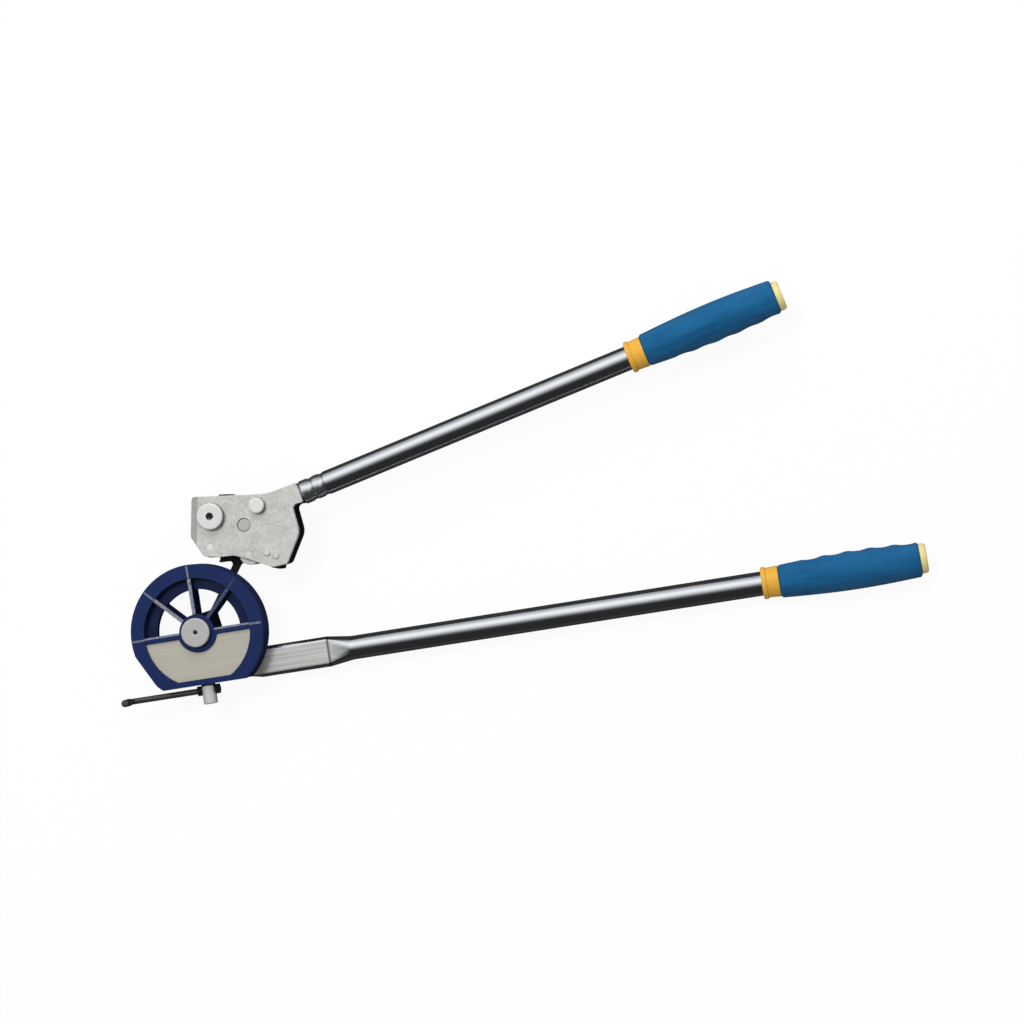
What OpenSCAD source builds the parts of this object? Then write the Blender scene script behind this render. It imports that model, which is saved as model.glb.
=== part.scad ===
// Lever tube bender: a grooved forming wheel with a fixed handle, and a swinging
// lever whose head rolls the tube round the wheel with two grooved rollers.
// Millimetres. The tool lies on its back: Z is the bending axis, X runs along the fixed handle.

/* [Bent tube] */
// Outside diameter of the tube that is bent
tube_d = 16; // [12:0.5:18]
// Room between the tube and the grooves
tube_play = 0.15; // [0.05:0.05:0.4]

/* [Forming wheel] */
// Bend radius, to the tube's centre line and the rim's edge
bend_r = 57; // [52:0.5:70]
// Thickness of the wheel across its two flanges
wheel_t = 21; // [20:0.5:28]
// Wall between the groove and the inside of the rim
rim_wall = 3.5; // [2:0.5:5]
// Bevel on the rim's edges
rim_bevel = 0.8; // [0.3:0.1:1.2]
// Width of the thin ledge inside the rim
ledge_w = 9.5; // [5:0.5:12]
// Thickness of the ledge
ledge_t = 6; // [4:0.5:10]
// Diameter of the hub
hub_d = 30; // [28:0.5:34]
// Width of a rib
rib_w = 3; // [2:0.25:5]
// How far the rib edges lie below the rim's faces
rib_drop = 0.5; // [0.2:0.1:2]
// Width of the raised angle marks on the rim
mark_w = 1.8; // [1:0.2:3]
// Height of the angle marks
mark_h = 0.45; // [0.2:0.05:0.7]
// Distance of the bottom flat from the axis
flat_y = 44; // [42:0.5:48]
// Distance of the slanted cut from the axis
slant_r = 54.8; // [52.5:0.1:56]
// Direction that the slanted cut faces, in degrees
slant_a = 208; // [202:1:214]

/* [Label plate] */
// Thickness of the bare label plate
label_t = 0.8; // [0.5:0.1:1.5]
// Depth of the pocket that the plate lies in
label_pocket = 3; // [1.5:0.5:4]
// Width of the wheel's border below the plate
label_border = 4.5; // [4:0.5:9]
// Radius of the plate's round side
label_r = 45.5; // [38:0.5:46]

/* [Pivot] */
// Diameter of the pivot pin
pivot_d = 14; // [12:0.5:15]
// Diameter of the pin's head
pin_head_d = 24.5; // [22:0.5:28]
// Thickness of the pin's head
pin_head_t = 5; // [2:0.5:6]
// Diameter of the pin's threaded end
pin_thread_d = 12; // [10:0.5:12]
// Length of the threaded end past the nut
pin_stub = 0.6; // [0.3:0.1:3]
// Wall of the bush in the arm's eye
pivot_bush_wall = 2; // [1:0.25:3]
// Wall of the arm's eye round its bush
eye_wall = 6; // [4:0.5:8]
// Thickness of the washer under the nut
pivot_washer_t = 2; // [1:0.25:3]
// Height of the pivot nut
pivot_nut_h = 11.3; // [8:0.1:13]
// Width of the pivot nut across its flats
pivot_nut_af = 19; // [17:0.5:22]

/* [Lever head] */
// Gap between the wheel's faces and the head's plates, filled by the thrust washer
side_gap = 1; // [0.6:0.1:2]
// Thickness of the front plate
plate_t = 4; // [3:0.5:6]
// Thickness of the rear swing arm
arm_t = 6; // [4:0.5:8]
// Width of the arm between its eye and the head
arm_w = 5.5; // [5:0.5:10]
// Direction of the arm from the pivot, in degrees
arm_angle = 54; // [50:0.5:56]
// Direction of the first roller from the pivot at rest, in degrees
roller_angle = 70.7; // [60:0.1:85]
// Distance between the rollers along the tube
roller_pitch = 33.3; // [32.5:0.1:36]
// Depth of the grooves in the rollers
roller_groove = 1.7; // [1:0.1:4]
// Wall of the rollers between their groove and their bush
roller_wall = 2.2; // [1.5:0.1:4]
// Wall of the roller bushes
roller_bush_wall = 1; // [0.8:0.1:1.5]
// Diameter of the roller axles
axle_d = 8; // [7:0.25:10]
// Diameter of the axle ends in the plates
axle_end_d = 5.5; // [5:0.25:6.75]
// How far the rear plate and the spacer block stay back on the right
rear_inset = 2.4; // [0:0.2:4]
// Width of the bevel on the front plate's left side
plate_bevel_w = 6; // [3:0.5:8]
// Depth of that bevel
plate_bevel_d = 2.6; // [1:0.1:2.8]

/* [Head fasteners] */
// Diameter of the main tie bolt's head
main_head_d = 22.5; // [18:0.5:26]
// Height of the main tie bolt's head
main_head_t = 6; // [3:0.5:7]
// Diameter of the main tie bolt
main_bolt_d = 10; // [8:0.5:11]
// Wall of the sleeve round the main tie bolt
main_sleeve_wall = 4.5; // [2.5:0.25:5]
// Diameter of the second tie bolt's head
tie_head_d = 13.5; // [12:0.5:16]
// Height of the second tie bolt's head
tie_head_t = 5.5; // [3:0.5:6]
// Diameter of the second tie bolt
tie_bolt_d = 8; // [6:0.5:9]
// Diameter of the flush dowel
dowel_d = 11.5; // [8:0.5:13]
// Diameter of the plate rivets
rivet_d = 4; // [3:0.25:4.5]
// Height of the rivet heads
rivet_h = 1.2; // [0.6:0.1:2]

/* [Handles] */
// Outside diameter of the handle tubes
handle_d = 20; // [18:0.5:21]
// Wall of the handle tubes
handle_wall = 1.5; // [1:0.1:2.5]
// Height of the fixed handle's axis below the pivot
fixed_drop = 33.3; // [32.5:0.1:33.8]
// Width of the fixed handle's flat tongue
tongue_w = 25.5; // [22:0.5:26.5]
// Width of the tongue's tail behind the wheel
tongue_tail_w = 20; // [18:0.5:20.5]
// Thickness of the flat tongue
tongue_t = 10; // [7:0.5:12]
// How far the tongue reaches past the pivot, to the middle of its round end
tongue_back = 26; // [24:1:30]
// Distance from the pivot to the end of the tongue's flat
tongue_front = 103; // [85:1:130]
// Length over which the tongue turns into the round tube
tongue_blend = 20; // [8:1:30]
// Distance from the pivot to the fixed handle's collar
fixed_reach = 469; // [350:1:600]
// Length of the lever's tube between the neck and its collar
lever_reach = 293; // [220:1:420]
// Angle between the straight tube in the rollers and the lever's handle, in degrees
lever_bend = 32.1; // [28:0.1:36]
// Width of the head's neck
neck_w = 17.4; // [15:0.2:19]
// Length of the neck's spigot inside the lever's tube
spigot_len = 46; // [38:1:70]
// Depth of the two crimp grooves
crimp_depth = 0.7; // [0.4:0.1:1.2]
// Distance between the crimp grooves
crimp_pitch = 10; // [8:0.5:14]
// Diameter of the fixed handle's bolts
handle_bolt_d = 8; // [6:0.5:9]

/* [Grips] */
// Length of a grip between its collar and its end cap
grip_len = 115; // [95:1:140]
// Diameter of a grip at its widest
grip_d = 32; // [29:0.5:36]
// Diameter of a grip at its collar
grip_start_d = 27; // [25:0.5:28.5]
// Diameter of a grip at its end cap
grip_end_d = 28.4; // [26:0.2:30]
// How far the grips lie outside the middle of their tubes
grip_offset = 0.6; // [0:0.1:0.8]
// Depth of the finger waves
wave_depth = 1.1; // [0.4:0.1:1.5]
// Length of a collar
collar_len = 14; // [10:1:20]
// Diameter of a collar
collar_d = 24.4; // [23.4:0.2:26]
// Height of the collar's lip
collar_lip = 1; // [0.4:0.1:1.4]
// Length of an end cap
cap_len = 5.5; // [5:0.5:14]
// Length of the end cap's plug in the tube
cap_plug = 14; // [8:1:25]

/* [Tube hook] */
// Diameter of the hook's rod
hook_rod_d = 5; // [3:0.25:5.5]
// Diameter of the hook's tip
hook_tip_d = 6.2; // [5.6:0.1:7]
// Length of the leg that reaches round the tube
hook_leg = 21; // [17:0.5:26]
// Diameter of the swivel stud
stud_d = 11.8; // [10.5:0.2:14]
// Length of the stud below the wheel
stud_len = 15.5; // [11:0.5:20]
// Diameter of the stud's shank
shank_d = 8; // [6.5:0.5:9]
// Length of the shank inside the wheel
shank_len = 18; // [15:0.5:20]
// Height of the wheel's boss round the shank
hook_boss_h = 1.2; // [1:0.2:3]
// Diameter of the pin that holds the shank
keeper_d = 3; // [2.5:0.25:3.5]
// Width of the hook's lock nuts across their flats
hook_nut_af = 8; // [7.5:0.25:9]
// Thickness of the hook's lock nuts
hook_nut_t = 3.4; // [2.4:0.2:5]

/* [Fits] */
// Room round a pin that turns
run_play = 0.05; // [0.03:0.01:0.08]
// Room round a pin or bolt that doesn't turn
seat_play = 0.05; // [0.02:0.01:0.1]
// Gap between faces that slide past each other
face_gap = 0.1; // [0.05:0.01:0.2]
// Gap round a moving piece
move_gap = 0.5; // [0.3:0.1:0.8]

/* [Hidden] */
$fn = 64;

// Colours
navy = [0.09, 0.15, 0.33];
grip_blue = [0.11, 0.35, 0.56];
trim_yellow = [0.90, 0.68, 0.25];
chrome = [0.80, 0.81, 0.83];
zinc = [0.74, 0.75, 0.74];
black_steel = [0.10, 0.10, 0.11];
bronze = [0.66, 0.50, 0.28];
champagne = [0.70, 0.67, 0.59];

// Grooves
groove_r = tube_d / 2 + tube_play;
rim_in_r = bend_r - groove_r - rim_wall;
window_r = rim_in_r - ledge_w;

// Heights along the bending axis, from the pin's foot
half_wheel = wheel_t / 2;
half_head = half_wheel + side_gap;
eye_back = pin_stub + pivot_nut_h + pivot_washer_t + face_gap;
mid_z = eye_back + arm_t + half_head;
thrust_t = side_gap - 2 * face_gap;
thrust_low = face_gap - half_head;
pin_dimple_r = 2.6;
pin_dimple_t = 1.8;

// Rollers
roller_core_r = axle_d / 2 + run_play + roller_bush_wall;
roller_groove_x = roller_core_r + seat_play + roller_wall + groove_r;
roller_r = roller_groove_x - groove_r + roller_groove;
roller_reach = bend_r + roller_groove_x;
roller_spots = [[0, 0], [roller_pitch, 0]];
bush_half = half_head - face_gap;

// Head, in a frame with the first roller's axis at its origin and X along the straight tube.
// Its spots were drawn for rollers 33.3 apart and grow with the rollers' distance.
head_unit = roller_pitch / 33.3;
top_left = head_unit * [-23.5, 38];
left_corner = head_unit * [-18.3, 5.1];
top_bend = head_unit * [39.5, 51.8];
neck_end = head_unit * [66.6, 57.9];
neck_side = neck_w / 2 * [-sin(lever_bend), cos(lever_bend)];
neck_top = neck_end + neck_side;
neck_bottom = neck_end - neck_side;
main_spot = head_unit * [-3.4, 25.2];
tie_spot = head_unit * [33.8, 41];
dowel_spot = head_unit * [25.2, 22.9];
rivet_spots = head_unit * [[48.6, 4.1], [56.5, 3.1]];
low_lug = head_unit * [53.5, -7.6];
block_left = head_unit * 2.5;
pocket_r = roller_r + 2 * move_gap;
main_sleeve_r = main_bolt_d / 2 + seat_play + main_sleeve_wall;
dowel_sink = 0.6;
dowel_soft = 1.6;
lug_w = 8;
lug_out = 1.2;
neck_root = 4;

// Outline of the head's plates: X, Y and corner radius. The right side moves in by inset.
function head_outline(inset) = [
    [top_left.x, top_left.y, 3],
    [top_bend.x, top_bend.y, 40],
    [neck_top.x, neck_top.y, 1.5],
    [neck_bottom.x, neck_bottom.y, 1.5],
    head_unit * [62.3, 46.8, 4] - [inset, 0, 0],
    head_unit * [72.6, 25.7, 14] - [inset, 0, 0],
    head_unit * [66.8, -2.2, 4] - [inset, 0, 0],
    head_unit * [55.5, -6.9, 6],
    head_unit * [44.3, -5.5, 10],
    head_unit * [30, -3.7, 8],
    head_unit * [21, -3.4, 6],
    head_unit * [9.5, -6.8, 6],
    head_unit * [-3.5, -8.6, 3],
    [left_corner.x, left_corner.y, 5]
];

// Outline of the rear plate: the same, with the swing arm and its eye drawn out of the lower edge,
// which hangs lower at the arm's root. The eye is an octagon
// whose corners are rounded almost to a circle.
eye_bore_r = pivot_d / 2 + run_play + pivot_bush_wall + seat_play;
eye_r = eye_bore_r + eye_wall;
pivot_spot = [0, -roller_reach];
arm_dir = arm_angle + 90 - roller_angle;
arm_root = (roller_reach - 10 * head_unit) / sin(arm_dir);
arm_foot = eye_r * sqrt(2) - arm_w / 2;
arm_round = 3;
arm_flare = 2.5;
right_points = [0 : 8];
left_points = [12 : 13];
root_right = head_unit * [[33, -6.3, 6]];
root_left = head_unit * [[7.9, -11.7, 4], [1.8, -13.6, 1], [5.2, -7.8, 2]];
function arm_point(along, side, r) =
    [
        pivot_spot.x + along * cos(arm_dir) - side * sin(arm_dir),
        pivot_spot.y + along * sin(arm_dir) + side * cos(arm_dir),
        r
    ];
rear_outline = concat(
    [for (i = right_points) head_outline(rear_inset)[i]],
    root_right,
    [arm_point(arm_root, -arm_w / 2, arm_flare), arm_point(arm_foot, -arm_w / 2, arm_round)],
    [
        for (a = [67.5 : 45 : 292.5])
            arm_point(eye_r / cos(22.5) * cos(a), -eye_r / cos(22.5) * sin(a), 0.98 * eye_r)
    ],
    [arm_point(arm_foot, arm_w / 2, arm_round), arm_point(arm_root, arm_w / 2, arm_flare)],
    root_left,
    [for (i = left_points) head_outline(rear_inset)[i]]
);

// Handles
handle_r = handle_d / 2;
handle_bore_r = handle_r - handle_wall;
fixed_z = mid_z - half_wheel - tongue_t / 2;
tongue_shoulder = 0.57 * bend_r;
tongue_taper = 12;
handle_bolt_x = [-tongue_back + 4, 28];
handle_bolt_head_af = handle_bolt_d * 1.6;
handle_bolt_head_h = handle_bolt_d * 0.55;
handle_bolt_grip = 13;
crimp_w = 2.8;
crimp_start = 9;
wave_count = 5;
// Places of the finger waves along a grip, from 0 to 1
wave_spots = [for (i = [1 : wave_count]) (i + 0.35) / (wave_count + 0.75)];
wave_r = 30;
collar_lip_w = 4;
grip_round = 1.5;
cap_dish = 0.8;

// Tube hook
stud_top = -(flat_y + hook_boss_h + face_gap);
hook_nut_r = hook_nut_af / 2 / cos(30);
rod_y = min(-(flat_y + hook_nut_r + move_gap), stud_top - 1 - hook_rod_d / 2);
rod_clear = tube_d / 2 + hook_rod_d / 2 + 0.2;
hook_lean = asin(rod_clear / bend_r);
leg_x = bend_r * cos(hook_lean) + tube_d / 2 + hook_tip_d / 2 + move_gap;
bend_rod_r = hook_rod_d * 1.1;
keeper_y = -(flat_y - 9);
shank_neck_r = shank_d / 2 - keeper_d / 3;
keeper_x = shank_neck_r + keeper_d / 2 + run_play;
keeper_depth = half_wheel + shank_d / 2;

// Points on an arc that rounds corner b between a and c
function corner_arc(a, b, c, r, steps) =
    let (u = (a - b) / norm(a - b))
    let (w = (c - b) / norm(c - b))
    let (half = acos(u * w) / 2)
    let (centre = b + (u + w) / norm(u + w) * r / sin(half))
    let (from = b + u * r / tan(half) - centre)
    let (to = b + w * r / tan(half) - centre)
    let (start = atan2(from.y, from.x))
    let (turn = (atan2(to.y, to.x) - start + 540) % 360 - 180)
    [for (i = [0 : steps]) centre + r * [cos(start + turn * i / steps), sin(start + turn * i / steps)]];

// A closed outline with each corner rounded by its third number
function rounded(path, steps = 6) =
    let (count = len(path))
    [
        for (i = [0 : count - 1])
            let (a = path[(i + count - 1) % count])
            let (b = path[i])
            let (c = path[(i + 1) % count])
            each corner_arc([a.x, a.y], [b.x, b.y], [c.x, c.y], b[2], steps)
    ];

// Radius of a grip along its length, from 0 at the collar to 1 at the end cap
grip_peak = 0.55;
function grip_radius(at) =
    at < grip_peak
        ? grip_start_d / 2 + (grip_d - grip_start_d) / 2 * sin(90 * at / grip_peak)
        : grip_end_d / 2 + (grip_d - grip_end_d) / 2 * cos(90 * (at - grip_peak) / (1 - grip_peak));

// Points of a crimped tube's profile: radius and distance from its end
function crimped(r) =
    [
        for (c = [crimp_start, crimp_start + crimp_pitch])
            each [
                [r, c - crimp_w],
                [r - crimp_depth * 0.5, c - crimp_w * 0.7],
                [r - crimp_depth, c - crimp_w * 0.3],
                [r - crimp_depth, c + crimp_w * 0.3],
                [r - crimp_depth * 0.5, c + crimp_w * 0.7],
                [r, c + crimp_w]
            ]
    ];

// Places
module at_head() {
    rotate(roller_angle - 90)
        translate([0, roller_reach, mid_z])
            children();
}

module at_lever_handle(along = 0) {
    at_head()
        translate([neck_end.x, neck_end.y, 0])
            rotate(lever_bend)
                translate([along, 0, 0])
                    children();
}

module at_fixed_handle(along = 0) {
    translate([along, -fixed_drop, fixed_z])
        children();
}

module along_x() {
    rotate([0, 90, 0])
        children();
}

// Shared shapes
module ring(outer_r, inner_r, low, high) {
    translate([0, 0, low])
        difference() {
            cylinder(r = outer_r, h = high - low);
            translate([0, 0, -1])
                cylinder(r = inner_r, h = high - low + 2);
        }
}

module hex_nut(af, bore_r, height) {
    difference() {
        cylinder(r = af / 2 / cos(30), h = height, $fn = 6);
        translate([0, 0, -1])
            cylinder(r = bore_r, h = height + 2);
    }
}

module bolt_hole(spot, r, low, high) {
    translate([spot.x, spot.y, low])
        cylinder(r = r, h = high - low);
}

module rounded_head(r, height, soft) {
    rotate_extrude()
        polygon([
            [0, 0],
            [r, 0],
            [r, height - soft],
            [r - soft * 0.3, height - soft * 0.3],
            [r - soft, height],
            [0, height]
        ]);
}

module beyond_slant(distance) {
    rotate(slant_a)
        translate([distance, -2 * bend_r])
            square([bend_r, 4 * bend_r]);
}

module wheel_outline() {
    difference() {
        circle(r = bend_r);
        translate([-2 * bend_r, -flat_y - bend_r])
            square([4 * bend_r, bend_r]);
        beyond_slant(slant_r);
    }
}

module label_outline(shrink) {
    difference() {
        circle(r = label_r - shrink);
        translate([-bend_r, -rib_w / 2 - 2 - shrink])
            square([2 * bend_r, 2 * bend_r]);
        translate([-bend_r, -flat_y + label_border + shrink - bend_r])
            square([2 * bend_r, bend_r]);
        circle(r = hub_d / 2 + 1.5 + shrink);
    }
}

// Forming wheel
module rim_section() {
    difference() {
        polygon([
            [rim_in_r, -half_wheel],
            [bend_r - rim_bevel, -half_wheel],
            [bend_r, -half_wheel + rim_bevel],
            [bend_r, half_wheel - rim_bevel],
            [bend_r - rim_bevel, half_wheel],
            [rim_in_r, half_wheel]
        ]);
        translate([bend_r, 0])
            circle(r = groove_r);
    }
}

module wheel_marks() {
    for (a = [0 : 45 : 180])
        rotate(a)
            translate([rim_in_r, -mark_w / 2, half_wheel - 0.5])
                cube([bend_r - rim_bevel - rim_in_r - 0.4, mark_w, mark_h + 0.5]);
}

module wheel_ribs() {
    for (a = [0 : 45 : 180])
        rotate(a)
            translate([0, -rib_w / 2, -half_wheel + rib_drop])
                cube([rim_in_r + rim_wall / 2, rib_w, wheel_t - 2 * rib_drop]);
}

module wheel_body() {
    intersection() {
        union() {
            rotate_extrude()
                rim_section();
            ring(rim_in_r + rim_wall / 2, window_r, -ledge_t / 2, ledge_t / 2);
            intersection() {
                cylinder(r = rim_in_r + rim_wall / 2, h = wheel_t, center = true);
                translate([-bend_r, -2 * bend_r, -half_wheel])
                    cube([2 * bend_r, 2 * bend_r, wheel_t]);
            }
        }
        translate([0, 0, -half_wheel])
            linear_extrude(wheel_t)
                wheel_outline();
    }
    cylinder(r = hub_d / 2, h = wheel_t, center = true);
    wheel_ribs();
    wheel_marks();
    translate([0, -flat_y + 1, 0])
        rotate([90, 0, 0])
            cylinder(d = stud_d, h = hook_boss_h + 1);
}

module forming_wheel() {
    color(navy)
        translate([0, 0, mid_z])
            difference() {
                wheel_body();
                cylinder(r = pivot_d / 2 + seat_play, h = wheel_t + 2, center = true);
                translate([0, 0, half_wheel - label_pocket])
                    linear_extrude(label_pocket + 1)
                        label_outline(0);
                translate([0, stud_top - 1, 0])
                    rotate([-90, 0, 0])
                        cylinder(r = shank_d / 2 + run_play, h = shank_len + 2);
                translate([keeper_x, keeper_y, -half_wheel - 1])
                    cylinder(r = keeper_d / 2 + seat_play, h = keeper_depth + 1 + face_gap);
                for (x = handle_bolt_x)
                    translate([x, -fixed_drop, -half_wheel - 1])
                        cylinder(r = handle_bolt_d / 2 + seat_play, h = handle_bolt_grip + 1.5);
            }
}

module label_plate() {
    color(champagne)
        translate([0, 0, mid_z + half_wheel - label_pocket])
            linear_extrude(label_t)
                label_outline(0.25);
}

// Pivot
module pivot_pin() {
    color(zinc)
        difference() {
            union() {
                cylinder(d = pin_thread_d, h = eye_back);
                translate([0, 0, eye_back - face_gap])
                    cylinder(d = pivot_d, h = mid_z + half_wheel - eye_back + face_gap);
                translate([0, 0, mid_z + half_wheel])
                    rounded_head(pin_head_d / 2, pin_head_t, 1);
            }
            translate([0, 0, mid_z + half_wheel + pin_head_t - pin_dimple_t])
                cylinder(r1 = 0, r2 = pin_dimple_r, h = pin_dimple_t + 0.01);
        }
}

module pivot_thrust_washer() {
    color(bronze)
        translate([0, 0, mid_z])
            ring(hub_d / 2 - 1, pivot_d / 2 + run_play, thrust_low, thrust_low + thrust_t);
}

module pivot_washer() {
    color(zinc)
        ring(pivot_d / 2 + pivot_bush_wall + eye_wall - 1, pin_thread_d / 2 + seat_play,
            eye_back - face_gap - pivot_washer_t, eye_back - face_gap);
}

module pivot_nut() {
    color(zinc)
        translate([0, 0, pin_stub])
            hex_nut(pivot_nut_af, pin_thread_d / 2 + seat_play, pivot_nut_h);
}

module hook_keeper_pin() {
    color(zinc)
        translate([keeper_x, keeper_y, mid_z - half_wheel])
            cylinder(d = keeper_d, h = keeper_depth);
}

// Fixed handle
module tongue_section(thickness, width) {
    square([thickness, width - thickness], center = true);
    for (side = [-1, 1])
        translate([0, side * (width - thickness) / 2])
            circle(d = thickness);
}

module tongue_plan() {
    tail = tongue_tail_w / 2;
    side = tongue_w / 2;
    rim = tongue_back + tongue_shoulder;
    front = tongue_back + tongue_front + 2 * tongue_t;
    polygon(rounded([
        [-tail, tail, 0.98 * tail],
        [-tail, -tail, 0.98 * tail],
        [rim, -tail, tongue_taper],
        [rim + tongue_taper, -side, tongue_taper],
        [front, -side, 1],
        [front, side, 1],
        [rim + tongue_taper, side, tongue_taper],
        [rim, tail, tongue_taper]
    ]));
}

module fixed_handle_tube() {
    tube_start = tongue_front + tongue_blend;
    tube_end = fixed_reach + collar_len + grip_len;
    color(chrome)
        difference() {
            union() {
                at_fixed_handle(-tongue_back)
                    intersection() {
                        translate([-tongue_w, 0, 0])
                            along_x()
                                linear_extrude(tongue_back + tongue_front + tongue_w)
                                    tongue_section(tongue_t, tongue_w);
                        linear_extrude(tongue_t, center = true)
                            tongue_plan();
                    }
                hull() {
                    at_fixed_handle(tongue_front - 0.02)
                        along_x()
                            linear_extrude(0.02)
                                tongue_section(tongue_t, tongue_w, $fn = 32);
                    at_fixed_handle(tube_start)
                        along_x()
                            cylinder(d = handle_d, h = 0.02, $fn = 32);
                }
                at_fixed_handle(tube_start)
                    along_x()
                        cylinder(d = handle_d, h = tube_end - tube_start);
            }
            at_fixed_handle(tube_start + 4)
                along_x()
                    cylinder(r = handle_bore_r, h = tube_end - tube_start);
            for (x = handle_bolt_x)
                at_fixed_handle(x)
                    cylinder(r = handle_bolt_d / 2 + seat_play, h = 2 * tongue_t, center = true);
        }
}

module fixed_handle_bolts() {
    color(zinc)
        for (x = handle_bolt_x)
            at_fixed_handle(x)
                translate([0, 0, -tongue_t / 2]) {
                    translate([0, 0, -handle_bolt_head_h])
                        cylinder(r = handle_bolt_head_af / 2 / cos(30), h = handle_bolt_head_h, $fn = 6);
                    cylinder(d = handle_bolt_d, h = tongue_t + handle_bolt_grip);
                }
}

// Grips, drawn along +X from the collar's face, with the finger waves on the side of +Y
module collar_shape() {
    rotate_extrude()
        polygon([
            [handle_r + seat_play, 0],
            [collar_d / 2 + collar_lip - 0.6, 0],
            [collar_d / 2 + collar_lip, 0.6],
            [collar_d / 2 + collar_lip, collar_lip_w - 0.6],
            [collar_d / 2 + collar_lip - 0.6, collar_lip_w],
            [collar_d / 2, collar_lip_w],
            [collar_d / 2 + 0.6, collar_len],
            [handle_r + seat_play, collar_len]
        ]);
}

module grip_shape() {
    steps = 18;
    difference() {
        translate([0, -grip_offset, 0])
            rotate_extrude()
                polygon(concat(
                    [[0, 0], [grip_start_d / 2 - grip_round, 0]],
                    [
                        for (i = [0 : steps])
                            [
                                grip_radius(i / steps),
                                grip_round + (grip_len - 2 * grip_round) * i / steps
                            ]
                    ],
                    [[grip_end_d / 2 - grip_round, grip_len], [0, grip_len]]
                ));
        translate([0, 0, -1])
            cylinder(r = handle_r + seat_play, h = grip_len + 2);
        for (at = wave_spots)
            translate([0, grip_radius(at) - grip_offset - wave_depth + wave_r, grip_len * at])
                along_x()
                    cylinder(r = wave_r, h = 2 * grip_d, center = true);
    }
}

module cap_shape() {
    face_r = grip_end_d / 2 - grip_round - grip_offset;
    rotate_extrude()
        polygon([
            [0, -cap_plug],
            [handle_bore_r - seat_play - 0.5, -cap_plug],
            [handle_bore_r - seat_play, -cap_plug + 1],
            [handle_bore_r - seat_play, 0],
            [face_r, 0],
            [face_r + 0.3, cap_len * 0.4],
            [face_r - 0.2, cap_len * 0.8],
            [face_r - 1.4, cap_len],
            [face_r - 3, cap_len],
            [face_r - 3.8, cap_len - cap_dish],
            [0, cap_len - cap_dish]
        ]);
}

module fixed_handle_collar() {
    color(trim_yellow)
        at_fixed_handle(fixed_reach)
            along_x()
                collar_shape();
}

module fixed_handle_grip() {
    color(grip_blue)
        at_fixed_handle(fixed_reach + collar_len)
            along_x()
                grip_shape();
}

module fixed_handle_end_cap() {
    color(trim_yellow)
        at_fixed_handle(fixed_reach + collar_len + grip_len)
            along_x()
                cap_shape();
}

// Lever head
module head_plan(inset = 0) {
    polygon(rounded(head_outline(inset)));
}

module head_holes(low, high) {
    for (spot = roller_spots)
        bolt_hole(spot, axle_end_d / 2 + seat_play, low, high);
    bolt_hole(main_spot, main_bolt_d / 2 + seat_play, low, high);
    bolt_hole(tie_spot, tie_bolt_d / 2 + seat_play, low, high);
    bolt_hole(dowel_spot, dowel_d / 2 + seat_play, low, high);
    for (spot = rivet_spots)
        bolt_hole(spot, rivet_d / 2 + seat_play, low, high);
}

// Wedge that takes the front edge off the line from a to b
module edge_bevel(a, b, width, depth) {
    run = b - a;
    over = 2 * width;
    translate([a.x, a.y, half_head + plate_t])
        rotate(atan2(run.y, run.x))
            translate([-over, 0, 0])
                rotate([90, 0, 90])
                    linear_extrude(norm(run) + 2 * over)
                        polygon([[width, 0.01], [width, 1], [-2, 1], [-2, -depth], [0, -depth]]);
}

module lever_front_plate() {
    color(zinc)
        at_head()
            difference() {
                translate([0, 0, half_head])
                    linear_extrude(plate_t)
                        head_plan();
                head_holes(half_head - 1, half_head + plate_t + 1);
                edge_bevel(top_left, left_corner, plate_bevel_w, plate_bevel_d);
            }
}

module lever_swing_arm() {
    color(black_steel)
        at_head()
            difference() {
                translate([0, 0, -half_head - arm_t])
                    linear_extrude(arm_t)
                        polygon(rounded(rear_outline));
                bolt_hole(pivot_spot, eye_bore_r, -half_head - arm_t - 1, -half_head + 1);
                head_holes(-half_head - arm_t - 1, -half_head + 1);
            }
}

module lever_pivot_bush() {
    color(bronze)
        translate([0, 0, mid_z])
            ring(pivot_d / 2 + run_play + pivot_bush_wall, pivot_d / 2 + run_play,
                -half_head - arm_t, -half_head);
}

module block_plan() {
    difference() {
        intersection() {
            head_plan(rear_inset);
            translate([block_left, -bend_r])
                square([3 * bend_r, 3 * bend_r]);
        }
        translate([-bend_r, -bend_r])
            square([bend_r + roller_pitch, bend_r + pocket_r / 2]);
        for (spot = roller_spots)
            translate(spot)
                circle(r = pocket_r);
        translate(main_spot)
            circle(r = main_sleeve_r + move_gap);
    }
    top_slope = (top_bend.y - top_left.y) / (top_bend.x - top_left.x);
    translate([block_left, top_left.y + top_slope * (block_left - top_left.x)])
        rotate(atan(top_slope))
            translate([-lug_w * 0.45, -3])
                square([lug_w, 3 + lug_out]);
    translate(low_lug)
        square([lug_w - 1, 6 * head_unit]);
}

module spigot_profile() {
    spigot_r = handle_bore_r - seat_play;
    polygon(concat(
        [[0, -neck_root], [spigot_r, -neck_root]],
        crimped(spigot_r),
        [[spigot_r, spigot_len], [0, spigot_len]]
    ));
}

module lever_spacer_block() {
    color(black_steel)
        difference() {
            union() {
                at_head()
                    linear_extrude(2 * half_head, center = true)
                        block_plan();
                at_lever_handle()
                    along_x()
                        rotate_extrude()
                            spigot_profile();
            }
            at_head() {
                bolt_hole(tie_spot, tie_bolt_d / 2 + seat_play, -half_head - 1, half_head + 1);
                bolt_hole(dowel_spot, dowel_d / 2 + seat_play, -half_head - 1, half_head + 1);
                for (spot = rivet_spots)
                    bolt_hole(spot, rivet_d / 2 + seat_play, -half_head - 1, half_head + 1);
            }
        }
}

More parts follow.
